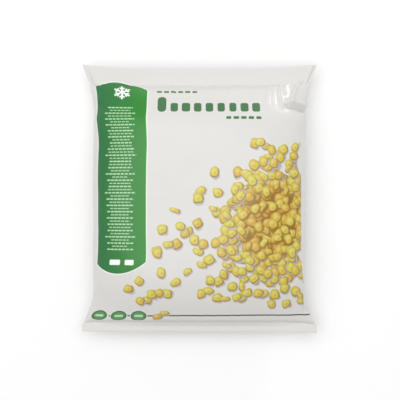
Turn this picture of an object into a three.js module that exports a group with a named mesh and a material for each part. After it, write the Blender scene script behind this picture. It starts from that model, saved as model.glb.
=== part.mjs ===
import * as THREE from 'three';

// Frozen vegetable bag: a filled pillow bag of printed film, lying on its back.
// Millimetres, +Z up. The bag's length runs along Y, with its top seal towards +Y. The origin is
// under the middle of the bag, on the surface that it lies on.

// Driving dimensions
const SEAL_WIDTH = 290;      // flat width of the film tube, as it shows at both end seals
const BODY_WIDTH = 262;      // width where the contents have rounded the tube
const LENGTH = 330;          // from the cut edge of one end seal to that of the other
const THICKNESS = 78;        // highest point of the filled body
const SEAL_DEPTH = 10;       // depth of the crimped band at each end
const SEAL_THICKNESS = 1.2;  // two films pressed together, over the crimp's ridges
const SEAL_LEVEL = 25;       // height of the end seals above the surface
const SIDE_LEVEL = 34;       // height of the body's widest line
const EAR_LENGTH = 44;       // how far the flared corners run into the body
const EAR_POWER = 1.6;       // how quickly the flare dies away
const EAR_REACH = 5;         // how far the top corners stand out past the middle of the edge
const REACH_POWER = 6;       // keeps that reach close to the top seal

// How the film is drawn in: small pleats across each seal, and one fold at each corner
const PLEAT_PITCH = 37;
const PLEAT_DEPTH = 1.1;
const PLEAT_FADE = 24;
const FOLD_DEPTH = 5;
const FOLD_WIDTH = 8;
const FOLD_LENGTH = 52;
const FOLD_INSET = 13;       // from the body's side to where the fold starts, at the seal
const FOLD_SLANT = 0.6;      // how far the fold runs inwards for each step away from the seal

// The body's profile along its length: a higher power keeps it full for longer
const FULLNESS_BOTTOM = 3.4;
const FULLNESS_TOP = 2.5;
const END_ROUNDING = 0.72;

// The body's cross-section: a higher power squares the film's shoulders
const FRONT_POWER = 2.5;
const BACK_POWER = 3.2;
const BACK_BULGE = 1.12;     // past 1, the back would bulge through the surface, which flattens it
const SHARP_EDGE = 1.0;      // at a seal the two films meet in a sharp edge
const ROUND_EDGE = 0.5;      // past the corner's flare they meet in a round side

const STATIONS = 50;         // rings along the filled body
const STEPS = 42;            // steps across the front, and as many across the back
const END_CROWDING = 0.7;    // share by which the rings crowd towards the seals

const bodyLength = LENGTH - 2 * SEAL_DEPTH;
const mix = (a, b, amount) => a + (b - a) * amount;

// Share of the full height reached at t, from 0 at the bottom seal to 1 at the top seal
function fullness(t) {
  const power = t < 0.5 ? FULLNESS_BOTTOM : FULLNESS_TOP;
  return Math.max(0, 1 - Math.abs(2 * t - 1) ** power) ** END_ROUNDING;
}

// How much of the corner's flare is left at a distance from the nearest seal
function flare(distance) {
  return Math.max(0, 1 - distance / EAR_LENGTH) ** EAR_POWER;
}

// Small waves along the seals, and a valley from each corner towards the middle of the body
function creases(x, distance) {
  const wave = Math.cos((2 * Math.PI * x) / PLEAT_PITCH);
  const pleat = PLEAT_DEPTH * wave * Math.exp(-distance / PLEAT_FADE);
  const fromSide = BODY_WIDTH / 2 - FOLD_INSET - Math.abs(x);
  const offLine = (fromSide - distance * FOLD_SLANT) / FOLD_WIDTH;
  const along = Math.max(0, 1 - distance / FOLD_LENGTH) * Math.min(1, distance / SEAL_DEPTH);
  return pleat - FOLD_DEPTH * along * Math.exp(-offLine * offLine);
}

// Heights of the front and back film at s, from -1 to 1 across, on the ring at t
function filmHeights(s, t) {
  const share = fullness(t);
  const distance = Math.min(t, 1 - t) * bodyLength;
  const halfWidth = mix(BODY_WIDTH / 2, SEAL_WIDTH / 2, flare(distance));
  const middle = mix(SEAL_LEVEL, SIDE_LEVEL, share);
  const edge = mix(SHARP_EDGE, ROUND_EDGE, Math.min(1, distance / EAR_LENGTH));
  const front = Math.max(0, 1 - Math.abs(s) ** FRONT_POWER) ** edge;
  const back = Math.max(0, 1 - Math.abs(s) ** BACK_POWER) ** edge;
  const rise = (THICKNESS - middle) * share + creases(s * halfWidth, distance) * Math.sqrt(share);
  const drop = middle * BACK_BULGE * share * back;
  const half = SEAL_THICKNESS / 2;
  return {
    x: s * halfWidth,
    front: middle + Math.max(half, rise * front),
    back: Math.max(0, middle - Math.max(half, drop)),
  };
}

// Place of a ring along Y; the top edge curves back between its two corners
function along(t, s, past) {
  const reach = EAR_REACH * Math.max(0, 2 * t - 1) ** REACH_POWER * (s * s - 1);
  return -bodyLength / 2 + bodyLength * t + past + reach;
}

// Rings of points: the cut edge of the bottom seal, the body, the cut edge of the top seal
function makeRings() {
  const rings = [];
  const addRing = (t, past) => {
    const front = [];
    const back = [];
    for (let step = 0; step <= STEPS; step += 1) {
      const s = -Math.cos((Math.PI * step) / STEPS);
      const film = filmHeights(s, t);
      front.push([film.x, along(t, s, past), film.front]);
      if (step > 0 && step < STEPS) {
        back.unshift([film.x, along(t, s, past), film.back]);
      }
    }
    rings.push([...front, ...back]);
  };
  addRing(0, -SEAL_DEPTH);
  for (let station = 0; station <= STATIONS; station += 1) {
    const even = station / STATIONS;
    addRing(mix(even, 0.5 - 0.5 * Math.cos(Math.PI * even), END_CROWDING), 0);
  }
  addRing(1, SEAL_DEPTH);
  return rings;
}

// One closed skin over the rings, with a flat strip closing each cut edge
function loftGeometry(rings) {
  const around = rings[0].length;
  const indices = [];
  for (let ring = 0; ring + 1 < rings.length; ring += 1) {
    for (let point = 0; point < around; point += 1) {
      const next = (point + 1) % around;
      const here = ring * around;
      const beyond = here + around;
      indices.push(here + point, here + next, beyond + next);
      indices.push(here + point, beyond + next, beyond + point);
    }
  }
  const closeEnd = (start, flipped) => {
    const addTriangle = (a, b, c) => {
      const corners = flipped ? [a, c, b] : [a, b, c];
      indices.push(...corners.map((corner) => start + corner));
    };
    addTriangle(0, around - 1, 1);
    for (let step = 1; step + 1 < STEPS; step += 1) {
      addTriangle(step, around - step, around - step - 1);
      addTriangle(step, around - step - 1, step + 1);
    }
    addTriangle(STEPS - 1, STEPS + 1, STEPS);
  };
  closeEnd(0, false);
  closeEnd((rings.length - 1) * around, true);
  const geometry = new THREE.BufferGeometry();
  geometry.setAttribute('position', new THREE.Float32BufferAttribute(rings.flat(2), 3));
  geometry.setIndex(indices);
  geometry.computeVertexNormals();
  return geometry;
}

const film = new THREE.MeshStandardMaterial({ color: 0xe8e7e4, roughness: 0.35, metalness: 0 });
const bag = new THREE.Mesh(loftGeometry(makeRings()), film);
bag.name = 'bag';

const group = new THREE.Group();
group.add(bag);

export default group;
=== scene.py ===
import bisect
import math

from typing import NamedTuple

import bmesh
import bpy
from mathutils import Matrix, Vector, noise
from mathutils.bvhtree import BVHTree


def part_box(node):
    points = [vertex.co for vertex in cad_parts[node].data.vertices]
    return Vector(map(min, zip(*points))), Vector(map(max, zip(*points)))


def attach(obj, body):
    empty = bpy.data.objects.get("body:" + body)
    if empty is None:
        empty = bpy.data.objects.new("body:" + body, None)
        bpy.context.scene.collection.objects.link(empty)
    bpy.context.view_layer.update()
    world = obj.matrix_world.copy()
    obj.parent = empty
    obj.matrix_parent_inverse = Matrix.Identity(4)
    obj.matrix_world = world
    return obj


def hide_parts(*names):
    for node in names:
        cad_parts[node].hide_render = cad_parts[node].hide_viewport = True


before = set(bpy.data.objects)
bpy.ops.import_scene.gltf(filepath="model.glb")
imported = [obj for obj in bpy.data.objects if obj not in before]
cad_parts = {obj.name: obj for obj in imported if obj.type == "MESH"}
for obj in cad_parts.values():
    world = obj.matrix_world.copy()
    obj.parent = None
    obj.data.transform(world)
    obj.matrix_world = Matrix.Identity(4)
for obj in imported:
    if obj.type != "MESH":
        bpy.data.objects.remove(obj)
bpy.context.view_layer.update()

bl_info = {
    "name": "Frozen vegetable bag",
    "version": (1, 0, 0),
    "blender": (4, 5, 0),
    "location": "3D View > Sidebar > Vegetable bag",
    "description": "Makes a filled pillow bag of printed film and the studio that it lies in",
    "category": "Object",
}

MM = 0.001
BAG_LOW, BAG_HIGH = (Vector(corner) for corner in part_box("bag"))


# ---------------------------------------------------------------------------------------------
# Settings that a user would change
# ---------------------------------------------------------------------------------------------

def length_setting(name, description, default):
    """A size in metres, shown with its unit."""
    return bpy.props.FloatProperty(
        name=name, description=description, default=default, precision=4, unit="LENGTH")


def number_setting(name, description, default):
    """A plain number."""
    return bpy.props.FloatProperty(name=name, description=description, default=default, precision=3)


def linear_from_hex(code):
    """sRGB hex, such as E8E6E3, as linear red, green and blue."""
    def channel(start):
        value = int(code[start:start + 2], 16) / 255
        return value / 12.92 if value <= 0.04045 else ((value + 0.055) / 1.055) ** 2.4
    return tuple(channel(start) for start in (0, 2, 4))


def colour_setting(name, description, code):
    """A colour, given as sRGB hex."""
    return bpy.props.FloatVectorProperty(
        name=name, description=description, subtype="COLOR", min=0, max=1, default=linear_from_hex(code))


class BagFilmSizes(bpy.types.PropertyGroup):
    """The film tube, as it is cut and as it is filled."""
    flat_width: length_setting(
        "Flat width", "Width of the flat film tube, seen at both seals", BAG_HIGH.x - BAG_LOW.x)
    length: length_setting(
        "Length", "From one cut edge to the other, filled", BAG_HIGH.y - BAG_LOW.y)
    thickness: length_setting("Thickness", "Highest point of the filled bag", BAG_HIGH.z)
    slack: length_setting(
        "Slack", "Film between the seals beyond the straight distance between them", 22 * MM)
    crimp_depth: length_setting("Crimp depth", "Depth of the crimped band at each end", 10 * MM)
    headspace: length_setting(
        "Headspace", "Empty film that lies flat between the top crimp and the contents", 12 * MM)
    seal_thickness: length_setting("Seal thickness", "The two films in the band", 0.7 * MM)
    seal_level: length_setting("Seal level", "Height of the seals above the surface", 25 * MM)
    corner_reach: length_setting(
        "Corner reach", "How far the top corners stand out past the middle of the edge", 5 * MM)
    corner_taper: length_setting(
        "Corner taper", "How far the top corners draw in over the crimp and the headspace", 8 * MM)
    corner_droop: length_setting(
        "Corner droop", "How far one bottom corner hangs past the edge", 2 * MM)
    body_width: length_setting("Body width", "Width where the contents round the tube", 262 * MM)
    side_level: length_setting("Side level", "Height of the body's widest line", 34 * MM)
    columns: bpy.props.IntProperty(
        name="Columns", description="Film cells across the front", default=68)
    rows: bpy.props.IntProperty(
        name="Rows", description="Film cells between the seals", default=78)
    crimp_rows: bpy.props.IntProperty(
        name="Crimp rows", description="Film cells in the depth of one crimped band", default=8)
    settle_frames: bpy.props.IntProperty(
        name="Settle frames", description="Steps that the film takes to fill and settle", default=34)
    fill_pressure: number_setting("Fill pressure", "Push of the contents on the film", 3.0)
    seam_width: length_setting("Back seam width", "Fin where the tube is closed at the back", 12 * MM)
    seam_thickness: length_setting("Back seam thickness", "The fin's two films", 0.3 * MM)


class BagPrintSizes(bpy.types.PropertyGroup):
    """Where the print lies: across from the middle of the front, and along from mid length."""
    edge: length_setting("Print edge", "From the middle of the front to where its print ends", 133 * MM)
    panel_right: length_setting("Panel right", "Right edge of the side panel", -66.5 * MM)
    panel_top: length_setting("Panel top", "Highest point of the panel's arched top", 157 * MM)
    panel_bottom: length_setting("Panel bottom", "Lowest point of its rounded bottom", -91 * MM)
    split: length_setting(
        "Split", "The front is printed by two materials, one on each side of this line", -58.6 * MM)
    panel_crown: length_setting("Panel crown", "Radius of the arched top and bottom", 42 * MM)
    keyline: length_setting("Keyline", "White line round the panel", 1.3 * MM)
    small_print_pitch: length_setting("Small print pitch", "From line to line", 3.8 * MM)
    kernel_cell: length_setting("Kernel spacing", "Between the kernels of one layer", 19.5 * MM)
    kernel_length: length_setting("Kernel length", "Largest size of a drawn kernel", 13.8 * MM)
    back_middle: length_setting(
        "Back middle", "Middle of the back from that of the front, round the tube", BAG_HIGH.x - BAG_LOW.x)


class BagColours(bpy.types.PropertyGroup):
    """Colours of the film and its inks."""
    film: colour_setting("Film", "White film without print", "D9D7D3")
    keyline: colour_setting("Keyline", "White round the panel and the badges", "EEF2EA")
    panel_left: colour_setting("Panel, left", "Side panel at its outer edge", "2C7040")
    panel_right: colour_setting("Panel, right", "Side panel at its inner edge", "2E882C")
    small_print: colour_setting("Small print", "Pale lines on the panel", "B4DDAE")
    emblem: colour_setting("Emblem", "Snowflake on the panel", "F2F7F0")
    headline: colour_setting("Headline", "Dark green bars beside the panel", "47754A")
    rule: colour_setting("Rule", "Thin line above the bottom seal", "3C4A39")
    badge: colour_setting("Badge", "Inside of the small round badges", "5F905F")
    lemon: colour_setting("Lemon", "Lightest kernels", "D3C956")
    amber: colour_setting("Amber", "Ripest kernels", "CF9C38")
    kernel_light: colour_setting("Kernel light", "Lit side of a kernel", "E1D984")
    kernel_dark: colour_setting("Kernel dark", "Shaded rim of a kernel", "8F7127")
    kernel_eye: colour_setting("Kernel eye", "Dimple near a kernel's middle", "CA973A")
    loose_shadow: colour_setting("Loose shadow", "Drawn shadow on the white film", "B4A9AB")
    heap_shadow: colour_setting("Heap shadow", "Gaps between heaped kernels", "94691F")


# ---------------------------------------------------------------------------------------------
# Film: two sheets of one tube, sealed at both ends, then filled
# ---------------------------------------------------------------------------------------------

# Stiff against stretch and soft against bending, as thin polyethylene is
FILM_CLOTH = {
    "quality": 8,
    "mass": 0.05,
    "tension_stiffness": 60,
    "compression_stiffness": 30,
    "shear_stiffness": 20,
    "bending_stiffness": 0.5,
    "tension_damping": 5,
    "compression_damping": 5,
    "shear_damping": 5,
    "air_damping": 1,
}
WEIGHT_SHARE = 0.05          # share of gravity that presses the film down on its contents
FILM_DISTANCE = 1.5 * MM     # what the film keeps from the floor that it settles on

# The loose shell that the film starts out as: a higher power is squarer, or full for longer
FULLNESS_BOTTOM = 3.4
FULLNESS_TOP = 2.5
END_ROUNDING = 0.72
SHELL_POWER = 2.5
EAR_LENGTH = 44 * MM         # how far the flared corners run into the body
EAR_POWER = 1.6              # how quickly the flare dies away
PROFILE_STEPS = 200
SECTION_STEPS = 120

FINE_FROM = 105 * MM         # between these places along the film, the front's cells are halved
FINE_TO = 167 * MM
HEADSPACE_ROWS = 4           # film cells in the depth of the headspace
HAIR = 1e-6                  # metres within which two places are the same
CUT_ANGLE = math.radians(100)    # past this angle the film's cut edges look sharp
PANEL, FRONT, BACK = range(3)    # the film's materials, in their order


def mix(a, b, amount):
    """The value between a, at an amount of 0, and b, at 1."""
    return a + (b - a) * amount


def ease(value, start, end):
    """0 before start, 1 after end, smooth between them."""
    share = min(1.0, max(0.0, (value - start) / (end - start)))
    return share * share * (3 - 2 * share)


def fullness(t):
    """Share of the full height at t, from 0 at the bottom seal to 1 at the top seal."""
    power = FULLNESS_BOTTOM if t < 0.5 else FULLNESS_TOP
    return max(0.0, 1 - abs(2 * t - 1) ** power) ** END_ROUNDING


class EvenCurve:
    """A curve through many samples, read by the share of its own length, so that film stays even."""

    def __init__(self, samples):
        self.samples = samples
        self.lengths = [0.0]
        for before, after in zip(samples, samples[1:]):
            self.lengths.append(self.lengths[-1] + math.dist(before, after))

    def at(self, share):
        """Point at a share, from 0 to 1, of the curve's length."""
        target = share * self.lengths[-1]
        index = min(bisect.bisect_right(self.lengths, target), len(self.samples) - 1)
        before, after = self.samples[index - 1:index + 1]
        span = self.lengths[index] - self.lengths[index - 1]
        amount = (target - self.lengths[index - 1]) / span if span else 0.0
        return tuple(mix(a, b, amount) for a, b in zip(before, after))


class FilmPlan:
    """Where each point of the flat tube starts out in space."""

    def __init__(self, sizes):
        self.sizes = sizes
        self.top_depth = sizes.crimp_depth + sizes.headspace
        self.filled = sizes.length - sizes.crimp_depth - self.top_depth
        flat_filled = self.filled + sizes.slack
        flat_length = flat_filled + sizes.crimp_depth + self.top_depth
        self.bottom_line = sizes.crimp_depth - flat_length / 2
        self.top_line = self.bottom_line + flat_filled
        self.row_places = self.stations(
            (-flat_length / 2, sizes.crimp_rows), (self.bottom_line, sizes.rows),
            (self.top_line, HEADSPACE_ROWS), (self.top_line + sizes.headspace, sizes.crimp_rows),
            (flat_length / 2, 0))
        self.profile = EvenCurve([
            (self.filled * step / PROFILE_STEPS, sizes.thickness / 2 * fullness(step / PROFILE_STEPS))
            for step in range(PROFILE_STEPS + 1)])
        self.sections = {}

    @staticmethod
    def stations(*bands):
        """Even rows in each band; a band is (its start, its count of rows)."""
        places = []
        for (start, count), (end, _) in zip(bands, bands[1:]):
            places += [mix(start, end, row / count) for row in range(count)]
        return places + [bands[-1][0]]

    def is_flat(self, along):
        """True in the crimped bands and in the headspace, where the two films lie together."""
        return along < self.bottom_line + HAIR or along > self.top_line - HAIR

    def half_width(self, to_bottom, to_top):
        """Half of the body's width at these distances from its two ends."""
        sizes = self.sizes
        half = sizes.flat_width / 2
        body = sizes.body_width / 2
        bottom_flare = max(0.0, 1 - to_bottom / EAR_LENGTH) ** EAR_POWER
        top_flare = max(0.0, 1 - to_top / EAR_LENGTH) ** EAR_POWER
        return body + (half - body) * bottom_flare + (half - sizes.corner_taper - body) * top_flare

    def flat_place(self, share, along, side):
        """Point of a crimped band or of the headspace; share is -1 to 1 across the film."""
        sizes = self.sizes
        x = share * sizes.flat_width / 2
        if along > self.top_line - HAIR:
            past = along - self.top_line
            x -= sizes.corner_taper * (1 - past / self.top_depth) * math.copysign(abs(share) ** 5, share)
            y = self.filled_top() + past + self.top_dip(share)
        else:
            y = self.filled_bottom() - (self.bottom_line - along)
            y -= sizes.corner_droop * max(0.0, share) ** 4
        lift = side * sizes.seal_thickness / 2 * (1 if abs(share) < 1 else 0)
        return Vector((x, y, sizes.seal_level + lift))

    def filled_bottom(self):
        """Where the contents begin along the filled bag."""
        return -self.sizes.length / 2 + self.sizes.crimp_depth

    def filled_top(self):
        """Where the contents end along the filled bag."""
        return self.sizes.length / 2 - self.top_depth

    def top_dip(self, share):
        """The top edge curves back between its corners."""
        return self.sizes.corner_reach * (abs(share) ** 3 - 1)

    def section(self, t, side):
        """Half of the shell's cross-section at t, from its middle to its edge."""
        key = (round(t, 6), side)
        if key not in self.sections:
            sizes = self.sizes
            to_bottom = t * self.filled
            to_top = (1 - t) * self.filled
            half_width = self.half_width(to_bottom, to_top)
            roundness = min(1.0, min(to_bottom, to_top) / EAR_LENGTH)
            level = mix(sizes.seal_level, sizes.side_level, fullness(t))
            rise = fullness(t) * ((sizes.thickness - level) if side > 0 else -level)
            samples = []
            for step in range(SECTION_STEPS + 1):
                share = step / SECTION_STEPS
                round_x = math.sin(share * math.pi / 2) ** (2 / SHELL_POWER)
                round_z = abs(math.cos(share * math.pi / 2)) ** (2 / SHELL_POWER)
                height = mix(1 - share * share, round_z, roundness)
                samples.append((half_width * mix(share, round_x, roundness), level + rise * height))
            self.sections[key] = EvenCurve(samples)
        return self.sections[key]

    def shell(self, across, along, side):
        """Point of the loosely filled shell for one point of the flat film; side is 1 in front."""
        sizes = self.sizes
        share = across / (sizes.flat_width / 2)
        if self.is_flat(along):
            return self.flat_place(share, along, side)
        flat_share = (along - self.bottom_line) / (self.top_line - self.bottom_line)
        t = self.profile.at(flat_share)[0] / self.filled
        x, z = self.section(t, side).at(abs(share))
        y = mix(self.filled_bottom(), self.filled_top(), t) + self.top_dip(share) * max(0.0, 2 * t - 1) ** 6
        y -= sizes.corner_droop * max(0.0, share) ** 4 * max(0.0, 1 - 2 * t) ** 6
        return Vector((math.copysign(x, share), y, z))


def flat_film(sizes, plan):
    """A mesh of the flat tube: the front and back sheets, joined round their rim.

    The rim is kept sharp where the two sheets lie together.

    Its UV map "film" holds the place on the unrolled tube in metres: across, from the middle of
    the front, and along. The back continues past each side edge to the middle of the back.
    """
    bm = bmesh.new()
    uv_layer = bm.loops.layers.uv.new("film")
    row_count = len(plan.row_places) - 1
    half = sizes.flat_width / 2
    for side in (1, -1):
        before = set(bm.verts)
        bmesh.ops.create_grid(bm, x_segments=sizes.columns, y_segments=row_count, size=0.5)
        sheet = [vert for vert in bm.verts if vert not in before]
        for vert in sheet:
            column = round((vert.co.x + 0.5) * sizes.columns)
            row = round((vert.co.y + 0.5) * row_count)
            on_rim = column in (0, sizes.columns) or row in (0, row_count)
            across = half * (2 * column / sizes.columns - 1)
            vert.co = (across, plan.row_places[row], 0 if on_rim else side * sizes.seal_thickness / 2)
        faces = {face for vert in sheet for face in vert.link_faces}
        for face in faces:
            centre = face.calc_center_median().x
            for loop in face.loops:
                across = loop.vert.co.x
                if side < 0:
                    across = math.copysign(2 * half, centre) - across
                loop[uv_layer].uv = (across, loop.vert.co.y)
        if side < 0:
            bmesh.ops.reverse_faces(bm, faces=list(faces))
    bmesh.ops.remove_doubles(bm, verts=bm.verts, dist=HAIR)
    sharpness = bm.edges.layers.float.new("crease_edge")
    for edge in bm.edges:
        if all(vert.co.z == 0 and plan.is_flat(vert.co.y) for vert in edge.verts):
            edge[sharpness] = 1.0
    mesh = bpy.data.meshes.new("bag_film")
    bm.to_mesh(mesh)
    bm.free()
    return mesh


def film_side(vert_co):
    """1 on the front sheet, -1 on the back sheet, 0 on the rim, read from the flat mesh."""
    return (vert_co.z > HAIR) - (vert_co.z < -HAIR)


def collider(name, size, level):
    """A hidden flat surface that the film may not cross."""
    bm = bmesh.new()
    bmesh.ops.create_grid(bm, x_segments=40, y_segments=40, size=size / 2)
    bmesh.ops.translate(bm, verts=bm.verts, vec=(0, 0, level))
    mesh = bpy.data.meshes.new(name)
    bm.to_mesh(mesh)
    bm.free()
    surface = bpy.data.objects.new(name, mesh)
    bpy.context.scene.collection.objects.link(surface)
    surface.modifiers.new("Collision", "COLLISION")
    surface.collision.thickness_outer = 0.6 * MM
    surface.collision.cloth_friction = 5
    return surface


def fill_film(film, sizes, plan, flat_places):
    """Fills the loose shell by cloth simulation, with the seals held, and keeps the result."""
    held = film.vertex_groups.new(name="Seals")
    pushed = film.vertex_groups.new(name="Contents")
    for index, place in enumerate(flat_places):
        if plan.is_flat(place.y):
            held.add([index], 1.0, "REPLACE")
        else:
            settled_share = ease(plan.top_line - place.y, 0, 30 * MM)
            pushed.add([index], mix(0.5, 1.0, settled_share), "REPLACE")
    floor = collider("floor_under_film", 0.5, -FILM_DISTANCE)

    cloth = film.modifiers.new("Cloth", "CLOTH")
    settings = cloth.settings
    for name, value in FILM_CLOTH.items():
        setattr(settings, name, value)
    settings.vertex_group_mass = "Seals"
    settings.pin_stiffness = 1
    settings.use_pressure = True
    settings.uniform_pressure_force = sizes.fill_pressure
    settings.vertex_group_pressure = "Contents"
    settings.effector_weights.gravity = WEIGHT_SHARE
    cloth.collision_settings.use_self_collision = False
    cloth.collision_settings.distance_min = FILM_DISTANCE
    cloth.point_cache.frame_start = 1
    cloth.point_cache.frame_end = sizes.settle_frames

    scene = bpy.context.scene
    for step in range(1, sizes.settle_frames + 1):
        scene.frame_set(step)
    settled = film.evaluated_get(bpy.context.evaluated_depsgraph_get()).to_mesh()
    places = [vert.co.copy() for vert in settled.vertices]
    film.modifiers.remove(cloth)
    film.vertex_groups.clear()
    for vert, place in zip(film.data.vertices, places):
        vert.co = place
    bpy.data.objects.remove(floor)
    scene.frame_set(1)


def smooth_subdivide(film):
    """Replaces the film's mesh with itself subdivided once, so that folds can be finer."""
    modifier = film.modifiers.new("Subdivision", "SUBSURF")
    modifier.levels = modifier.render_levels = 1
    modifier.uv_smooth = "NONE"
    finer = bpy.data.meshes.new_from_object(
        film.evaluated_get(bpy.context.evaluated_depsgraph_get()))
    film.modifiers.clear()
    film.data = finer


def refine_ends(film, sizes):
    """Halves the front's cells near both seals, where the folds are the finest."""
    bm = bmesh.new()
    bm.from_mesh(film.data)
    uv_layer = bm.loops.layers.uv["film"]
    front = sizes.flat_width / 2 + HAIR
    fine = [face for face in bm.faces
            if all(FINE_FROM < abs(loop[uv_layer].uv.y) < FINE_TO and abs(loop[uv_layer].uv.x) < front
                   for loop in face.loops)]
    edges = list(dict.fromkeys(edge for face in fine for edge in face.edges))
    bmesh.ops.subdivide_edges(bm, edges=edges, cuts=1, use_grid_fill=True)
    bm.to_mesh(film.data)
    bm.free()


def film_places(mesh):
    """Place across and along the unrolled tube for each vertex."""
    places = [None] * len(mesh.vertices)
    uvs = mesh.uv_layers["film"].data
    for loop in mesh.loops:
        places[loop.vertex_index] = uvs[loop.index].uv.copy()
    return places


class Crease(NamedTuple):
    """A fold in the film, in mm on the film: it runs from start to end, each across and along."""
    start: tuple
    end: tuple
    width: float
    ridge: float
    step: float = 0.0

    def push(self, place):
        """How far the crease moves the film outwards at a place, in mm."""
        run = Vector(self.end) - Vector(self.start)
        away = place - Vector(self.start)
        share = away.dot(run) / run.length_squared
        if not 0 < share < 1:
            return 0.0
        off = (run.x * away.y - run.y * away.x) / run.length / self.width
        if abs(off) > 5:
            return 0.0
        fade = 1 - (2 * share - 1) ** 4
        crest = math.exp(-abs(off) ** 1.3)
        return fade * (self.ridge * crest + self.step * off * math.exp(-off * off / 2))


# A step stands higher on the left of the crease, seen from its start to its end
CREASES = (
    # Pleats under the top seal's right end
    Crease((103.5, 156), (106.5, 111), 2.0, 2.1),
    Crease((98, 156), (95.5, 116), 1.8, 1.1),
    Crease((91, 156), (87, 113), 2.0, 1.5),
    Crease((112, 156), (112, 132), 2.2, 1.2),
    # The corner folded down at the right: its crest, and the step down to the body
    Crease((131, 159), (117, 115), 2.4, 3.2, 1.6),
    Crease((110, 121), (146, 112), 3.0, 1.0, 7.0),
    # The top corners' edges, turned down
    Crease((-139, 177), (-133, 122), 2.0, 1.2, 1.4),
    Crease((142, 180), (138.5, 146), 1.5, 0.9, -1.3),
    # Short creases below the top seal
    Crease((-40, 158), (-34, 136), 2.0, 0.9),
    Crease((22, 156), (25, 141), 2.5, 0.5),
    Crease((60, 157), (57, 140), 2.2, 0.5),
    # The body's edge above the bottom seal
    Crease((-145, -164), (145, -164), 2.3, -3.8),
    Crease((-138, -158), (138, -158), 4.5, 0.0, 1.6),
    # Bottom corners
    Crease((119, -112), (140, -137), 1.9, 2.0, -0.8),
    Crease((141, -164), (127, -128), 3.0, 1.2),
    Crease((-141, -164), (-125, -124), 3.0, 1.4),
    Crease((-118, -160), (-104, -140), 2.4, 0.6),
    # A faint mark across the front where the film was folded
    Crease((-66, 3), (-30, 3.5), 1.5, 0.25),
)

# The film's small unevenness, all in mm
GATHER_WIDTH = 9             # of a gather along a seal; finer ones lie between them
FINE_GATHER_WIDTH = 4
GATHER_FADE = 15             # over which the gathers die away
LUMP_SIZE = 26               # of a lump of contents, which has small bumps
LUMP_HEIGHT = 0.7
BUMP_SIZE = 9
BUMP_HEIGHT = 0.14
LUMP_FADE = (172, 130)       # from mid length to where the lumps begin, and to where they are full
RIB_PITCH = 2.5              # from one rib of the crimp to the next
RIB_HEIGHT = 0.1
CUT_EDGE = 0.4               # at the cut edge, without a rib
WAVE_HEIGHT = 1.6            # by which a seal waves up and down
WAVE_LENGTH = 48             # over which it does
WAVE_FADE = 25               # from a seal to where the body no longer waves with it
TWIN_FADE = 15               # from a seal to where the back no longer takes the front's folds


def gather_push(place, plan):
    """Small uneven gathers along both seals, in mm; place is in mm."""
    to_bottom = place.y - plan.bottom_line / MM
    to_top = plan.top_line / MM - place.y
    distance = min(to_bottom, to_top)
    if distance < 0:
        return 0.0
    swing = noise.noise((place.x / GATHER_WIDTH, to_bottom / 60, 3.1))
    swing += 0.6 * noise.noise((place.x / FINE_GATHER_WIDTH, 7.7, 0))
    return swing * math.exp(-distance / GATHER_FADE) * ease(distance, 0, 3)


def lump_push(place):
    """The contents' soft lumps under the film, in mm."""
    lump = noise.noise((place.x / LUMP_SIZE, place.y / LUMP_SIZE, 11.3))
    bump = noise.noise((place.x / BUMP_SIZE, place.y / BUMP_SIZE, 4.9))
    return LUMP_HEIGHT * lump + BUMP_HEIGHT * bump


def crimp_lift(place, sizes, plan):
    """Ribs across the crimped bands, in mm."""
    depth = max(plan.bottom_line / MM - place.y, place.y - (plan.top_line + sizes.headspace) / MM)
    if depth <= 0 or sizes.crimp_depth / MM - depth <= CUT_EDGE:
        return 0.0
    return RIB_HEIGHT * math.sin(2 * math.pi * depth / RIB_PITCH)


def sculpt_film(film, sizes, plan):
    """Adds the folds, the gathers, the contents' lumps and the crimp's ribs to the filled film."""
    mesh = film.data
    normals = [vert.normal.copy() for vert in mesh.vertices]
    places = film_places(mesh)
    half_width = sizes.flat_width / 2 / MM
    for vert, normal, film_place in zip(mesh.vertices, normals, places):
        place = film_place / MM
        push = gather_push(place, plan) + sum(crease.push(place) for crease in CREASES)
        if not plan.is_flat(film_place.y):
            push += lump_push(place) * ease(abs(place.y), *LUMP_FADE)
        vert.co += normal * push * MM
        # In the seals and close to them the two films move together
        past_seal = max(plan.bottom_line / MM - place.y, place.y - plan.top_line / MM)
        wave = noise.noise((vert.co.x / MM / WAVE_LENGTH, math.copysign(9, place.y), 0))
        lift = WAVE_HEIGHT * wave * ease(past_seal, -WAVE_FADE, 0) + crimp_lift(place, sizes, plan)
        if abs(place.x) > half_width:
            # The back's twin on the front, whose folds it follows
            twin = Vector((math.copysign(2 * half_width, place.x) - place.x, place.y))
            lift += sum(crease.push(twin) for crease in CREASES) * ease(past_seal, -TWIN_FADE, 0)
        vert.co.z = max(0.5 * MM, vert.co.z + lift * MM)
    mesh.update()


class BAG_OT_film(bpy.types.Operator):
    """Make the sealed film tube, filled with its contents"""
    bl_idname = "vegetable_bag.film"
    bl_label = "Filled film"

    def execute(self, context):
        sizes = context.scene.bag_film
        plan = FilmPlan(sizes)
        mesh = flat_film(sizes, plan)
        flat_places = [vert.co.copy() for vert in mesh.vertices]
        for vert in mesh.vertices:
            vert.co = plan.shell(vert.co.x, vert.co.y, film_side(vert.co))
        film = bpy.data.objects.new("bag_film", mesh)
        context.scene.collection.objects.link(film)
        fill_film(film, sizes, plan, flat_places)
        smooth_subdivide(film)
        refine_ends(film, sizes)
        sculpt_film(film, sizes, plan)
        film.data.polygons.foreach_set("use_smooth", [True] * len(film.data.polygons))
        film.data.set_sharp_from_angle(angle=CUT_ANGLE)
        print_film(film, sizes, context.scene.bag_print, context.scene.bag_colours)
        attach(film, "root")
        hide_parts("bag")
        return {"FINISHED"}


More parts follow.
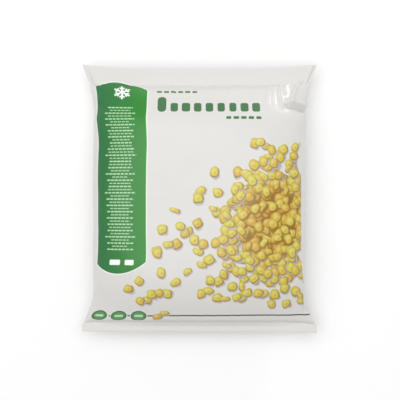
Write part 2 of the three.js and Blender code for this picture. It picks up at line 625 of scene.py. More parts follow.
class BAG_OT_back_seam(bpy.types.Operator):
    """Make the fin along the middle of the back, where the film was closed to a tube"""
    bl_idname = "vegetable_bag.back_seam"
    bl_label = "Back seam"

    def execute(self, context):
        sizes = context.scene.bag_film
        film = bpy.data.objects["bag_film"]
        under = BVHTree.FromPolygons(
            [vert.co for vert in film.data.vertices], [face.vertices for face in film.data.polygons])
        bm = bmesh.new()
        uv_layer = bm.loops.layers.uv.new("film")
        bmesh.ops.create_grid(bm, x_segments=6, y_segments=150, size=0.5)
        margin = 3 * MM
        bottom = margin - sizes.length / 2
        top = sizes.length / 2 - sizes.corner_reach - margin
        for vert in bm.verts:
            x = (vert.co.x + 0.5) * sizes.seam_width
            y = mix(bottom, top, vert.co.y + 0.5)
            hit = under.ray_cast(Vector((x, y, -0.01)), Vector((0, 0, 1)))[0]
            vert.co = (x, y, max(0.1 * MM, hit.z - 2 * sizes.seam_thickness))
        for face in bm.faces:
            for loop in face.loops:
                loop[uv_layer].uv = (sizes.flat_width, loop.vert.co.y)
        bmesh.ops.reverse_faces(bm, faces=bm.faces)
        bmesh.ops.solidify(bm, geom=bm.faces, thickness=sizes.seam_thickness)
        bmesh.ops.recalc_face_normals(bm, faces=bm.faces)
        mesh = bpy.data.meshes.new("back_seam")
        bm.to_mesh(mesh)
        bm.free()
        mesh.polygons.foreach_set("use_smooth", [True] * len(mesh.polygons))
        mesh.materials.append(film.data.materials[BACK])
        seam = bpy.data.objects.new("back_seam", mesh)
        context.scene.collection.objects.link(seam)
        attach(seam, "root")
        return {"FINISHED"}


# ---------------------------------------------------------------------------------------------
# Materials
# ---------------------------------------------------------------------------------------------

def add_node(tree, kind, *values, pick=0, named=None, **settings):
    """Adds a node, sets it up and fills its inputs in order: a socket is linked, None is left.

    Gives the output numbered pick, or the node itself where pick is None.
    """
    node = tree.nodes.new(kind)
    for key, value in settings.items():
        setattr(node, key, value)
    for key, value in list(enumerate(values)) + list((named or {}).items()):
        if isinstance(value, bpy.types.NodeSocket):
            tree.links.new(value, node.inputs[key])
        elif value is not None:
            node.inputs[key].default_value = value
    return node if pick is None else node.outputs[pick]


MATH = "ShaderNodeMath"
VECTOR = "ShaderNodeVectorMath"
RANGE = "ShaderNodeMapRange"
MIX = "ShaderNodeMix"
GROUP = "ShaderNodeGroup"
TURN = "ShaderNodeVectorRotate"
PARTS = "ShaderNodeSeparateXYZ"

FLOAT = "NodeSocketFloat"
PLACE = "NodeSocketVector"
COLOUR = "NodeSocketColor"


def start_group(name, **inputs):
    """An empty node group with the named inputs; gives it and its inputs' sockets."""
    group = bpy.data.node_groups.new(name, "ShaderNodeTree")
    for label, kind in inputs.items():
        group.interface.new_socket(label, in_out="INPUT", socket_type=kind)
    return group, add_node(group, "NodeGroupInput", pick=None).outputs


def end_group(group, **results):
    """Gives the group its outputs: each is a name with its kind and the socket that feeds it."""
    for label, (kind, _) in results.items():
        group.interface.new_socket(label, in_out="OUTPUT", socket_type=kind)
    add_node(group, "NodeGroupOutput", *(socket for _, socket in results.values()), pick=None)
    return group


def band_mask(tree, value, low, high):
    """1 where the value lies between low and high."""
    above = add_node(tree, MATH, value, low, operation="GREATER_THAN")
    below = add_node(tree, MATH, value, high, operation="LESS_THAN")
    return add_node(tree, MATH, above, below, operation="MULTIPLY")


def printed_over(tree, ink, *layers):
    """The print with layers over it: each is a mask and its ink, which is a colour or a socket."""
    # Inputs 6 and 7 of the Mix node are its two colours
    for mask, layer in layers:
        under, over = (value if isinstance(value, bpy.types.NodeSocket) else (*value, 1)
                       for value in (ink, layer))
        ink = add_node(tree, MIX, mask, pick=2, data_type="RGBA", named={6: under, 7: over})
    return ink


# Rows of rounded bars stand for the small print and the headline
BAR_FILL = 0.8               # the widest bar's share of the pitch
SMALL_BAR_FILL = 0.94
NARROWEST_BAR = 0.72         # as a share of the widest
BAR_ROUNDING = 0.45          # radius of a bar's corners, as a share of half its height


def bar_row_group():
    """A row of rounded bars of uneven widths; Place is from the middle of its left end.

    Lengths are in mm, and Fill is the widest bar's share of the pitch.
    """
    group, given = start_group(
        "row of bars", Place=PLACE, Length=FLOAT, Height=FLOAT, Pitch=FLOAT, Seed=FLOAT, Fill=FLOAT)
    parts = add_node(group, PARTS, given["Place"], pick=None).outputs
    cell = add_node(group, MATH, parts[0], given["Pitch"], operation="DIVIDE")
    index = add_node(group, MATH, cell, operation="FLOOR")
    from_middle = add_node(
        group, MATH, add_node(group, MATH, cell, operation="FRACT"), 0.5, operation="SUBTRACT")
    across = add_node(group, MATH, from_middle, given["Pitch"], operation="MULTIPLY")
    key = add_node(group, "ShaderNodeCombineXYZ", index, given["Seed"])
    chance = add_node(group, "ShaderNodeTexWhiteNoise", key, pick=1, noise_dimensions="2D")
    least = add_node(group, MATH, given["Fill"], NARROWEST_BAR, operation="MULTIPLY")
    share = add_node(group, RANGE, chance, 0.0, 1.0, least, given["Fill"])
    half_width = add_node(group, MATH, share, given["Pitch"], operation="MULTIPLY")
    half_width = add_node(group, MATH, half_width, 0.5, operation="MULTIPLY")
    half_height = add_node(group, MATH, given["Height"], 0.5, operation="MULTIPLY")
    radius = add_node(group, MATH, half_height, BAR_ROUNDING, operation="MULTIPLY")
    half = add_node(group, "ShaderNodeCombineXYZ", half_width, half_height)
    inner = add_node(
        group, VECTOR, half, add_node(group, "ShaderNodeCombineXYZ", radius, radius), operation="SUBTRACT")
    here = add_node(group, VECTOR, add_node(
        group, "ShaderNodeCombineXYZ", across, parts[1]), operation="ABSOLUTE")
    outside = add_node(group, VECTOR, add_node(
        group, VECTOR, here, inner, operation="SUBTRACT"), (0, 0, 0), operation="MAXIMUM")
    distance = add_node(group, VECTOR, outside, pick=1, operation="LENGTH")
    past = add_node(group, MATH, distance, radius, operation="SUBTRACT")
    inside = add_node(group, RANGE, past, 0.25, -0.25, 0.0, 1.0)
    in_row = band_mask(group, parts[0], 0.0, given["Length"])
    mask = add_node(group, MATH, inside, in_row, operation="MULTIPLY")
    return end_group(group, Mask=(FLOAT, mask))


def kernel_outline_group():
    """Distance over a rounded square's outline, which is at 1; Half holds its half sizes."""
    group, given = start_group("kernel outline", Place=PLACE, Turn=FLOAT, Half=PLACE)
    turned = add_node(
        group, TURN, given["Place"], rotation_type="Z_AXIS", named={"Angle": given["Turn"]})
    share = add_node(group, VECTOR, turned, given["Half"], operation="DIVIDE")
    parts = add_node(
        group, PARTS, add_node(group, VECTOR, share, operation="ABSOLUTE"), pick=None).outputs
    squareness = 2.7
    powers = [add_node(group, MATH, part, squareness, operation="POWER") for part in (parts[0], parts[1])]
    total = add_node(group, MATH, *powers, operation="ADD")
    distance = add_node(group, MATH, total, 1 / squareness, operation="POWER")
    return end_group(group, Distance=(FLOAT, distance))


def kernel_group(colours):
    """One drawn kernel of sweetcorn and its shadow, over the print below.

    Place is from its middle in mm, Ripe takes it from lemon to amber, and Crowd is 1 in the heap.
    """
    group, given = start_group(
        "corn kernel", Below=COLOUR, Place=PLACE, Turn=FLOAT, Half=PLACE, Ripe=FLOAT, Crowd=FLOAT,
        Shown=FLOAT)
    outline = kernel_outline_group()
    distance = add_node(group, GROUP, given["Place"], given["Turn"], given["Half"], node_tree=outline)
    shifted = add_node(group, VECTOR, given["Place"], (-1.2, 1.5, 0), operation="ADD")
    shadow_distance = add_node(group, GROUP, shifted, given["Turn"], given["Half"], node_tree=outline)

    lit = add_node(group, VECTOR, given["Place"], (-0.11, 0.14, 0), pick=1, operation="DOT_PRODUCT")
    rim = add_node(group, RANGE, distance, 0.5, 1.0, 0.0, 1.0, interpolation_type="SMOOTHSTEP")
    shaded_side = add_node(group, RANGE, lit, 0.8, -0.6, 0.25, 1.0, interpolation_type="SMOOTHSTEP")
    shade = add_node(group, MATH, rim, shaded_side, operation="MULTIPLY")
    glint = add_node(
        group, VECTOR, given["Place"], (-1.5, 1.8, 0), pick=1, operation="DISTANCE")
    glint = add_node(group, RANGE, glint, 4.4, 0.6, 0.0, 0.5, interpolation_type="SMOOTHSTEP")
    eye = add_node(group, VECTOR, given["Place"], (0.8, -0.9, 0), pick=1, operation="DISTANCE")
    eye = add_node(group, RANGE, eye, 2.4, 0.5, 0.0, 0.7, interpolation_type="SMOOTHSTEP")
    body = printed_over(
        group, colours.lemon, (given["Ripe"], colours.amber), (eye, colours.kernel_eye),
        (glint, colours.kernel_light), (shade, colours.kernel_dark))

    shadow = add_node(group, RANGE, shadow_distance, 1.14, 0.9, 0.0, 0.8, interpolation_type="SMOOTHSTEP")
    shadow = add_node(group, MATH, shadow, given["Shown"], operation="MULTIPLY")
    shadow_ink = printed_over(group, colours.loose_shadow, (given["Crowd"], colours.heap_shadow))
    inside = add_node(group, RANGE, distance, 1.03, 0.93, 0.0, 1.0)
    inside = add_node(group, MATH, inside, given["Shown"], operation="MULTIPLY")
    print_now = printed_over(group, given["Below"], (shadow, shadow_ink), (inside, body))
    return end_group(group, Print=(COLOUR, print_now))


# A tall leaning heap at the right edge, from which kernels scatter to the left and down, in mm
HEAP_MIDDLE = (90, -25, 0)
HEAP_HALF = (47, 55, 1)
HEAP_LEAN = 0.4
# Where, as shares of the heap's half sizes, the crowd starts and is full, and the scatter does
CROWD_EDGE = (1.1, 0.7)
SCATTER_EDGE = (1.8, 0.8)
LOOSE_CHANCE = 0.165         # a cell's chance of holding a kernel, away from the heap
# The scatter ends at a wide arc, above the bottom rule and round the panel
SCATTER_MIDDLE = (112, -125, 0)
SCATTER_REACH = 199.0
SCATTER_FOOT = -131.0
BESIDE_PANEL = 8
UNDER_PANEL = 5


def heap_group(sizes):
    """How the drawn kernels are spread: Crowd is 1 in the heap, Share is a kernel's chance."""
    group, given = start_group("heap of corn", Place=PLACE)
    from_heap = add_node(group, VECTOR, given["Place"], HEAP_MIDDLE, operation="SUBTRACT")
    from_heap = add_node(group, TURN, from_heap, rotation_type="Z_AXIS", named={"Angle": HEAP_LEAN})
    from_heap = add_node(group, VECTOR, from_heap, HEAP_HALF, operation="DIVIDE")
    spread = add_node(group, VECTOR, from_heap, pick=1, operation="LENGTH")
    crowd = add_node(group, RANGE, spread, *CROWD_EDGE, 0.0, 1.0, interpolation_type="SMOOTHSTEP")
    chance = add_node(
        group, RANGE, spread, *SCATTER_EDGE, LOOSE_CHANCE, 1.0, interpolation_type="SMOOTHSTEP")
    reach = add_node(group, VECTOR, given["Place"], SCATTER_MIDDLE, pick=1, operation="DISTANCE")
    in_reach = add_node(group, MATH, reach, SCATTER_REACH, operation="LESS_THAN")
    parts = add_node(group, PARTS, given["Place"], pick=None).outputs
    above_rule = add_node(group, MATH, parts[1], SCATTER_FOOT, operation="GREATER_THAN")
    beside_panel = add_node(
        group, MATH, parts[0], sizes.panel_right / MM + BESIDE_PANEL, operation="GREATER_THAN")
    under_panel = add_node(
        group, MATH, parts[1], sizes.panel_bottom / MM - UNDER_PANEL, operation="LESS_THAN")
    off_panel = add_node(group, MATH, beside_panel, under_panel, operation="MAXIMUM")
    for limit in (in_reach, above_rule, off_panel):
        chance = add_node(group, MATH, chance, limit, operation="MULTIPLY")
    return end_group(group, Crowd=(FLOAT, crowd), Share=(FLOAT, chance))


def scatter_group(sizes, kernel, heap):
    """One layer of scattered kernels, one at most in each cell; Shift and Turn set it apart."""
    group, given = start_group(
        "scattered corn", Below=COLOUR, Place=PLACE, Shift=PLACE, Turn=FLOAT, Ripe=FLOAT)
    turned = add_node(
        group, TURN, given["Place"], rotation_type="Z_AXIS", named={"Angle": given["Turn"]})
    moved = add_node(group, VECTOR, turned, given["Shift"], operation="ADD")
    cells = add_node(
        group, "ShaderNodeTexVoronoi", moved, pick=None, voronoi_dimensions="2D", named={
            "Scale": MM / sizes.kernel_cell, "Randomness": 0.38}).outputs
    back = add_node(group, VECTOR, cells["Position"], given["Shift"], operation="SUBTRACT")
    middle = add_node(
        group, TURN, back, rotation_type="Z_AXIS", invert=True, named={"Angle": given["Turn"]})
    place = add_node(group, VECTOR, given["Place"], middle, operation="SUBTRACT")
    spread = add_node(group, GROUP, middle, node_tree=heap, pick=None).outputs

    chances = add_node(group, PARTS, cells["Color"], pick=None).outputs
    more = add_node(group, "ShaderNodeTexWhiteNoise", cells["Color"], pick=1, noise_dimensions="3D")
    more = add_node(group, PARTS, more, pick=None).outputs
    shown = add_node(group, MATH, chances[0], spread["Share"], operation="LESS_THAN")
    angle = add_node(group, MATH, chances[1], 2 * math.pi, operation="MULTIPLY")
    half_length = sizes.kernel_length / 2 / MM
    length = add_node(group, RANGE, chances[2], 0.0, 1.0, 0.84 * half_length, half_length)
    # Most kernels lie flat; a few stand on edge and look narrow
    narrow = add_node(group, RANGE, more[0], 0.0, 0.45, 0.5, 0.95)
    width = add_node(group, MATH, length, narrow, operation="MULTIPLY")
    half = add_node(group, "ShaderNodeCombineXYZ", width, length, 1.0)
    ripe = add_node(group, RANGE, more[1], 0.35, 1.0, 0.0, 0.6)
    in_heap = add_node(group, MATH, spread["Crowd"], given["Ripe"], operation="MULTIPLY")
    ripe = add_node(group, MATH, ripe, in_heap, operation="ADD", use_clamp=True)
    print_now = add_node(
        group, GROUP, given["Below"], place, angle, half, ripe, spread["Crowd"], shown, node_tree=kernel)
    return end_group(group, Print=(COLOUR, print_now))


def snowflake_mask(tree, place, middle, radius):
    """A six-armed snowflake with one pair of branches on each arm, all in strokes of one width."""
    stroke = radius / 9
    away = add_node(tree, VECTOR, place, (*middle, 0), operation="SUBTRACT")
    parts = add_node(tree, PARTS, away, pick=None).outputs
    reach = add_node(tree, VECTOR, away, pick=1, operation="LENGTH")
    angle = add_node(tree, MATH, parts[0], parts[1], operation="ARCTAN2")
    folded = add_node(tree, MATH, angle, math.pi / 6, operation="PINGPONG")
    along, beside = (
        add_node(tree, MATH, reach, add_node(tree, MATH, folded, operation=part), operation="MULTIPLY")
        for part in ("COSINE", "SINE"))
    arm = add_node(tree, RANGE, beside, stroke + 0.2, stroke - 0.2, 0.0, 1.0)
    # A branch leaves the arm at 60 degrees, from just over half way along it
    past_fork = add_node(tree, MATH, along, 0.52 * radius, operation="SUBTRACT")
    lean = add_node(tree, MATH, past_fork, math.sin(math.pi / 3), operation="MULTIPLY")
    off_branch = add_node(tree, MATH, beside, -math.cos(math.pi / 3), lean, operation="MULTIPLY_ADD")
    off_branch = add_node(tree, MATH, off_branch, operation="ABSOLUTE")
    branch = add_node(tree, RANGE, off_branch, stroke + 0.1, stroke - 0.3, 0.0, 1.0)
    short = add_node(tree, MATH, beside, 0.3 * radius, operation="LESS_THAN")
    branch = add_node(tree, MATH, branch, short, operation="MULTIPLY")
    both = add_node(tree, MATH, arm, branch, operation="MAXIMUM")
    within = add_node(tree, MATH, reach, radius, operation="LESS_THAN")
    return add_node(tree, MATH, both, within, operation="MULTIPLY")


def panel_masks(tree, parts, sizes):
    """The side panel, straight at its sides and arched at both ends, and its keyline."""
    left = -sizes.edge / MM
    right = sizes.panel_right / MM
    middle = (left + right) / 2
    crown = sizes.panel_crown / MM
    from_middle = add_node(tree, MATH, parts[0], middle - 2, operation="SUBTRACT")
    squared = add_node(tree, MATH, from_middle, from_middle, operation="MULTIPLY")
    arch = add_node(tree, MATH, squared, 0.5 / crown, operation="MULTIPLY")
    top = add_node(tree, MATH, sizes.panel_top / MM, arch, operation="SUBTRACT")
    bottom = add_node(tree, MATH, sizes.panel_bottom / MM, arch, operation="ADD")
    outside, *gaps = [
        add_node(tree, MATH, *limits, operation="SUBTRACT")
        for limits in ((left, parts[0]), (parts[0], right), (parts[1], top), (bottom, parts[1]))]
    for gap in gaps:
        outside = add_node(tree, MATH, outside, gap, 0.6, operation="SMOOTH_MAX")
    keyline = sizes.keyline / MM
    return (add_node(tree, RANGE, outside, 0.3, -0.3, 0.0, 1.0),
            add_node(tree, RANGE, outside, keyline + 0.4, keyline - 0.4, 0.0, 1.0))


def small_print_mask(tree, parts, bars, middle, top, pitch, lines, longest):
    """Centred lines of short bars, each of its own length; every other line is slighter.

    All sizes are in mm; longest is the length of the longest line.
    """
    down = add_node(tree, MATH, top, parts[1], operation="SUBTRACT")
    line = add_node(tree, MATH, down, pitch, operation="DIVIDE")
    index = add_node(tree, MATH, line, operation="FLOOR")
    within = add_node(
        tree, MATH, 0.5, add_node(tree, MATH, line, operation="FRACT"), operation="SUBTRACT")
    up = add_node(tree, MATH, within, pitch, operation="MULTIPLY")
    slight = add_node(tree, MATH, index, 2.0, operation="MODULO")
    chance = add_node(tree, "ShaderNodeTexWhiteNoise", None, index, pick=1, noise_dimensions="1D")
    chance = add_node(tree, MATH, slight, -0.55, chance, operation="MULTIPLY_ADD")
    length = add_node(tree, RANGE, chance, -0.55, 1.0, 0.4 * longest, longest)
    height = add_node(tree, RANGE, slight, 0.0, 1.0, 0.42 * pitch, 0.3 * pitch)
    from_middle = add_node(tree, MATH, parts[0], middle, operation="SUBTRACT")
    across = add_node(tree, MATH, length, 0.5, from_middle, operation="MULTIPLY_ADD")
    here = add_node(tree, "ShaderNodeCombineXYZ", across, up)
    mask = add_node(
        tree, GROUP, here, length, height, 1.35 * pitch, index, SMALL_BAR_FILL, node_tree=bars)
    in_lines = band_mask(tree, index, -0.5, lines - 0.5)
    return add_node(tree, MATH, mask, in_lines, operation="MULTIPLY")


def bar_mask(tree, place, bars, left_end, count, height, pitch, seed):
    """One row of bars, from the middle of its left end."""
    here = add_node(tree, VECTOR, place, (*left_end, 0), operation="SUBTRACT")
    return add_node(tree, GROUP, here, count * pitch, height, pitch, seed, BAR_FILL, node_tree=bars)


# Badges at the bottom left, in mm: the middle of their row, and one badge's half sizes. Its keyline,
# its dark ring and its inside reach out to shares of those.
BADGE_COUNT = 3
BADGE_PITCH = 24.7
BADGE_ROW = (-99.3, -148.5)
BADGE_HALF = (10.0, 8.2, 1)
BADGE_SHARES = (1.07, 1.0, 0.74)


def badge_masks(tree, parts):
    """A row of small oval badges: keyline, dark ring, inside and a bar across the middle."""
    left_end = BADGE_ROW[0] - BADGE_COUNT / 2 * BADGE_PITCH
    away = add_node(tree, MATH, parts[0], left_end, operation="SUBTRACT")
    cell = add_node(tree, MATH, away, BADGE_PITCH, operation="DIVIDE")
    index = add_node(tree, MATH, cell, operation="FLOOR")
    across = add_node(
        tree, MATH, add_node(tree, MATH, cell, operation="FRACT"), 0.5, operation="SUBTRACT")
    across = add_node(tree, MATH, across, BADGE_PITCH, operation="MULTIPLY")
    up = add_node(tree, MATH, parts[1], BADGE_ROW[1], operation="SUBTRACT")
    here = add_node(tree, "ShaderNodeCombineXYZ", across, up)
    share = add_node(tree, VECTOR, here, BADGE_HALF, operation="DIVIDE")
    distance = add_node(tree, VECTOR, share, pick=1, operation="LENGTH")
    in_row = band_mask(tree, index, -0.5, BADGE_COUNT - 0.5)
    masks = []
    for reach in BADGE_SHARES:
        mask = add_node(tree, RANGE, distance, reach + 0.04, reach - 0.04, 0.0, 1.0)
        masks.append(add_node(tree, MATH, mask, in_row, operation="MULTIPLY"))
    level = add_node(tree, MATH, up, operation="ABSOLUTE")
    bar = add_node(tree, RANGE, level, 2.0, 1.4, 0.0, 1.0)
    short = add_node(tree, RANGE, distance, 0.56, 0.5, 0.0, 1.0)
    bar = add_node(tree, MATH, bar, short, operation="MULTIPLY")
    return (*masks, add_node(tree, MATH, bar, in_row, operation="MULTIPLY"))


RULE_LEVEL = -147.6          # mm along, at the middle of the front
RULE_RISE = 0.008            # how much the rule rises to the right
RULE_ENDS = (-112.0, 138.0)


def rule_mask(tree, parts):
    """A thin rule above the bottom seal, from the badges to the right side."""
    level = add_node(tree, MATH, parts[0], RULE_RISE, RULE_LEVEL, operation="MULTIPLY_ADD")
    off = add_node(tree, MATH, parts[1], level, operation="SUBTRACT")
    off = add_node(tree, MATH, off, operation="ABSOLUTE")
    line = add_node(tree, RANGE, off, 1.25, 0.65, 0.0, 1.0)
    between_ends = band_mask(tree, parts[0], *RULE_ENDS)
    return add_node(tree, MATH, line, between_ends, operation="MULTIPLY")


# Layers of scattered kernels from the lowest up: their shift in mm, their turn and how much
# riper the heap's kernels are in them
CORN_LAYERS = (
    ((43.0, 29.0, 0), 5.25, 1.0),
    ((71.0, 26.0, 0), 0.85, 0.9),
    ((3.0, 11.0, 0), 0.35, 0.85),
    ((41.0, 5.0, 0), 1.25, 0.75),
    ((17.0, 83.0, 0), 2.05, 0.6),
    ((67.0, 29.0, 0), 2.85, 0.45),
    ((93.0, 57.0, 0), 3.75, 0.3),
    ((29.0, 71.0, 0), 4.55, 0.12),
)

# Rows of the headline: the middle of the left end, the count of bars, height, pitch and seed
HEADLINE_ROWS = (
    ((-55.5, 119), 1, 22, 16.5, 2),
    ((-39, 114.5), 8, 12.6, 14.7, 5),
    ((-55.5, 139.5), 6, 3.6, 9.0, 7),
    ((31.5, 100), 5, 3.6, 9.4, 11),
)

# Two kernels that lie on the rule: middle, turn, half sizes and ripeness
RULE_KERNELS = (
    ((-51.5, -149.0, 0), 1.3, (4.4, 6.4, 1), 0.7),
    ((-43.0, -143.5, 0), 1.7, (3.6, 5.8, 1), 0.1),
)


def unrolled_place(tree):
    """Place on the unrolled tube in mm: across from the middle of the front, and along."""
    film = add_node(tree, "ShaderNodeUVMap", uv_map="film")
    return add_node(tree, VECTOR, film, (1 / MM, 1 / MM, 0), operation="MULTIPLY")


PRINT_SPREAD = (60.0, 130.0)     # mm from mid length over which the print widens
PRINT_SCALES = (1.07, 0.975)     # its mm for each mm across the film, before and after that


def print_place(tree):
    """Place in the front's print in mm, which lies narrower on the film at mid length."""
    parts = add_node(tree, PARTS, unrolled_place(tree), pick=None).outputs
    from_middle = add_node(tree, MATH, parts[1], operation="ABSOLUTE")
    scale = add_node(
        tree, RANGE, from_middle, *PRINT_SPREAD, *PRINT_SCALES, interpolation_type="SMOOTHSTEP")
    across = add_node(tree, MATH, parts[0], scale, operation="MULTIPLY")
    return add_node(tree, "ShaderNodeCombineXYZ", across, parts[1])


class PrintGroups(NamedTuple):
    """A row of bars, the heap's spread, one kernel and one layer of kernels."""
    bars: bpy.types.NodeTree
    heap: bpy.types.NodeTree
    kernel: bpy.types.NodeTree
    corn: bpy.types.NodeTree


def print_groups(sizes, colours):
    """Makes the node groups that the prints share."""
    heap = heap_group(sizes)
    kernel = kernel_group(colours)
    return PrintGroups(bar_row_group(), heap, kernel, scatter_group(sizes, kernel, heap))


def corn_print(tree, place, parts, groups, sizes, colours):
    """The scattered and heaped kernels on the white film, up to the print's right edge."""
    # The kernels' outlines are bent by up to 1.6 mm, unevenly over about 9 mm
    bend = add_node(tree, "ShaderNodeTexNoise", place, pick=1, noise_dimensions="2D", named={
        "Scale": 0.11, "Detail": 0.0})
    bend = add_node(tree, VECTOR, bend, (0.5, 0.5, 0.5), operation="SUBTRACT")
    corn_place = add_node(tree, VECTOR, bend, (3.2, 3.2, 0), place, operation="MULTIPLY_ADD")
    spread = add_node(tree, GROUP, place, node_tree=groups.heap, pick=None).outputs
    ink = printed_over(tree, colours.film, (spread["Crowd"], colours.heap_shadow))
    for shift, turn, ripe in CORN_LAYERS:
        ink = add_node(tree, GROUP, ink, corn_place, shift, turn, ripe, node_tree=groups.corn)
    past_edge = add_node(tree, MATH, parts[0], sizes.edge / MM, operation="GREATER_THAN")
    return printed_over(tree, ink, (past_edge, colours.film))


def panel_print(tree, groups, sizes, colours):
    """The left of the front: the side panel over the kernels, and the badges."""
    place = print_place(tree)
    parts = add_node(tree, PARTS, place, pick=None).outputs
    ink = corn_print(tree, place, parts, groups, sizes, colours)
    panel, keyline = panel_masks(tree, parts, sizes)
    shade = add_node(tree, RANGE, parts[0], -sizes.edge / MM, sizes.panel_right / MM, 0.0, 1.0)
    panel_ink = printed_over(tree, colours.panel_left, (shade, colours.panel_right))
    ink = printed_over(tree, ink, (keyline, colours.keyline), (panel, panel_ink))
    pitch = sizes.small_print_pitch / MM
    small_print = small_print_mask(
        tree, parts, groups.bars, middle=-100.5, top=115.5, pitch=pitch, lines=47, longest=46)
    large_bars = bar_mask(
        tree, place, groups.bars, left_end=(-116, -77), count=2, height=6.5, pitch=19.0, seed=3)
    snowflake = snowflake_mask(tree, place, middle=(-99, 138), radius=11.5)
    edge, ring, inside, bar = badge_masks(tree, parts)
    return printed_over(
        tree, ink,
        (small_print, colours.small_print), (large_bars, colours.emblem), (snowflake, colours.emblem),
        (rule_mask(tree, parts), colours.rule),
        (edge, colours.keyline), (ring, colours.headline), (inside, colours.badge),
        (bar, colours.small_print))


def main_print(tree, groups, sizes, colours):
    """The rest of the front: the headline, the kernels and the rule."""
    place = print_place(tree)
    parts = add_node(tree, PARTS, place, pick=None).outputs
    ink = corn_print(tree, place, parts, groups, sizes, colours)
    for row in HEADLINE_ROWS:
        ink = printed_over(tree, ink, (bar_mask(tree, place, groups.bars, *row), colours.headline))
    ink = printed_over(tree, ink, (rule_mask(tree, parts), colours.rule))
    for middle, turn, half, ripe in RULE_KERNELS:
        here = add_node(tree, VECTOR, place, middle, operation="SUBTRACT")
        ink = add_node(tree, GROUP, ink, here, turn, half, ripe, 0.0, 1.0, node_tree=groups.kernel)
    return ink


# Columns of lines on the back, in mm: middle, top, count of lines and the longest line
BACK_COLUMNS = (
    (-72, 96, 18, 96),
    (76, 60, 29, 84),
)


def back_print(tree, groups, sizes, colours):
    """The film's back: two plain columns of small lines."""
    parts = add_node(tree, PARTS, unrolled_place(tree), pick=None).outputs
    side = add_node(tree, MATH, parts[0], operation="SIGN")
    across = add_node(tree, MATH, side, -sizes.back_middle / MM, parts[0], operation="MULTIPLY_ADD")
    columns = [
        small_print_mask(tree, (across, parts[1]), groups.bars, middle, top, 5.2, lines, longest)
        for middle, top, lines, longest in BACK_COLUMNS]
    both = add_node(tree, MATH, *columns, operation="MAXIMUM")
    return printed_over(tree, colours.film, (both, colours.headline))


def printed_film(name, make_print, *settings):
    """White polyethylene film, printed inside a clear layer: glossy, with soft highlights."""
    material = bpy.data.materials.new(name)
    material.use_nodes = True
    tree = material.node_tree
    tree.nodes.clear()
    ink = make_print(tree, *settings)
    shader = add_node(tree, "ShaderNodeBsdfPrincipled", pick=None, named={
        "Base Color": ink, "Roughness": 0.28, "IOR": 1.5})
    add_node(tree, "ShaderNodeOutputMaterial", shader.outputs[0], pick=None)
    return material


def print_film(film, sizes, inks, colours):
    """Gives the film its materials: one with the panel, one for the rest of the front, one behind.

    A single material with the whole print would be more than a shader can hold.
    """
    groups = print_groups(inks, colours)
    film.data.materials.clear()
    for label, make_print in (("panel", panel_print), ("front", main_print), ("back", back_print)):
        film.data.materials.append(printed_film(
            f"printed polyethylene film, {label}", make_print, groups, inks, colours))
    uvs = film.data.uv_layers["film"].data
    for face in film.data.polygons:
        across = sum(uvs[loop].uv.x for loop in face.loop_indices) / face.loop_total
        if abs(across) > sizes.flat_width / 2:
            face.material_index = BACK
        else:
            face.material_index = FRONT if across > inks.split else PANEL


# ---------------------------------------------------------------------------------------------
# Stage
# ---------------------------------------------------------------------------------------------

WORLD_STRENGTH = 0.58

# Lights: name, place in metres, size and power. The wide key light gives the soft shadow, and the
# small low one brings out the creases under the top seal.
LIGHTS = (
    ("key_light", (-0.3, 0.25, 1.85), 2.5, 26.0),
    ("crease_light", (0.75, 1.5, 0.34), 0.25, 5.0),
)

# The camera looks straight down; its view is this wide at the level of the seals
VIEW_MIDDLE = (0.6 * MM, -2.5 * MM)
VIEW_LEVEL = 25 * MM
VIEW_WIDTH = 494.64 * MM
CAMERA_DISTANCE = 1.6
SENSOR_WIDTH = 36            # mm


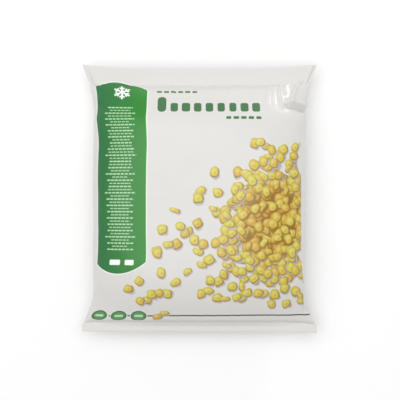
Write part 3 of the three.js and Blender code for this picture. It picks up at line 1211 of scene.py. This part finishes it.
class BAG_OT_stage(bpy.types.Operator):
    """Make the pale floor, the soft lights and the camera that looks straight down"""
    bl_idname = "vegetable_bag.stage"
    bl_label = "Stage"

    def execute(self, context):
        scene = context.scene
        bm = bmesh.new()
        bmesh.ops.create_grid(bm, x_segments=1, y_segments=1, size=4)
        mesh = bpy.data.meshes.new("floor")
        bm.to_mesh(mesh)
        bm.free()
        floor = bpy.data.objects.new("floor", mesh)
        scene.collection.objects.link(floor)
        material = bpy.data.materials.new("matt white studio floor")
        material.use_nodes = True
        shader = material.node_tree.nodes["Principled BSDF"]
        shader.inputs["Base Color"].default_value = (*linear_from_hex("FBFBFB"), 1)
        shader.inputs["Roughness"].default_value = 0.9
        mesh.materials.append(material)

        world = bpy.data.worlds.new("studio")
        world.use_nodes = True
        background = world.node_tree.nodes["Background"]
        background.inputs["Color"].default_value = (1, 1, 1, 1)
        background.inputs["Strength"].default_value = WORLD_STRENGTH
        scene.world = world

        for name, place, size, power in LIGHTS:
            lamp = bpy.data.lights.new(name, "AREA")
            lamp.size = size
            lamp.energy = power
            holder = bpy.data.objects.new(name, lamp)
            holder.location = place
            holder.rotation_euler = (-Vector(place)).to_track_quat("-Z", "Y").to_euler()
            scene.collection.objects.link(holder)

        eye = bpy.data.cameras.new("camera")
        eye.sensor_width = SENSOR_WIDTH
        eye.lens = SENSOR_WIDTH * CAMERA_DISTANCE / VIEW_WIDTH
        camera = bpy.data.objects.new("camera", eye)
        camera.location = (*VIEW_MIDDLE, VIEW_LEVEL + CAMERA_DISTANCE)
        scene.collection.objects.link(camera)
        scene.camera = camera
        scene.view_settings.view_transform = "Standard"
        return {"FINISHED"}


class BAG_PT_panel(bpy.types.Panel):
    """Lists the steps that make the bag"""
    bl_label = "Vegetable bag"
    bl_space_type = "VIEW_3D"
    bl_region_type = "UI"
    bl_category = "Vegetable bag"

    def draw(self, context):
        for step in OPERATORS:
            self.layout.operator(step.bl_idname)


OPERATORS = (BAG_OT_film, BAG_OT_back_seam, BAG_OT_stage)
SETTINGS = {"bag_film": BagFilmSizes, "bag_print": BagPrintSizes, "bag_colours": BagColours}


def register():
    """Registers the settings, the operators and the panel."""
    for group in SETTINGS.values():
        bpy.utils.register_class(group)
    for name, group in SETTINGS.items():
        setattr(bpy.types.Scene, name, bpy.props.PointerProperty(type=group))
    for item in (*OPERATORS, BAG_PT_panel):
        bpy.utils.register_class(item)


def unregister():
    """Takes them away again."""
    for item in reversed((*OPERATORS, BAG_PT_panel)):
        bpy.utils.unregister_class(item)
    for name in SETTINGS:
        delattr(bpy.types.Scene, name)
    for group in reversed(SETTINGS.values()):
        bpy.utils.unregister_class(group)


def main():
    """Makes the bag and its stage."""
    register()
    for step in OPERATORS:
        getattr(bpy.ops.vegetable_bag, step.bl_idname.split(".")[1])()


if __name__ == "__main__":
    main()
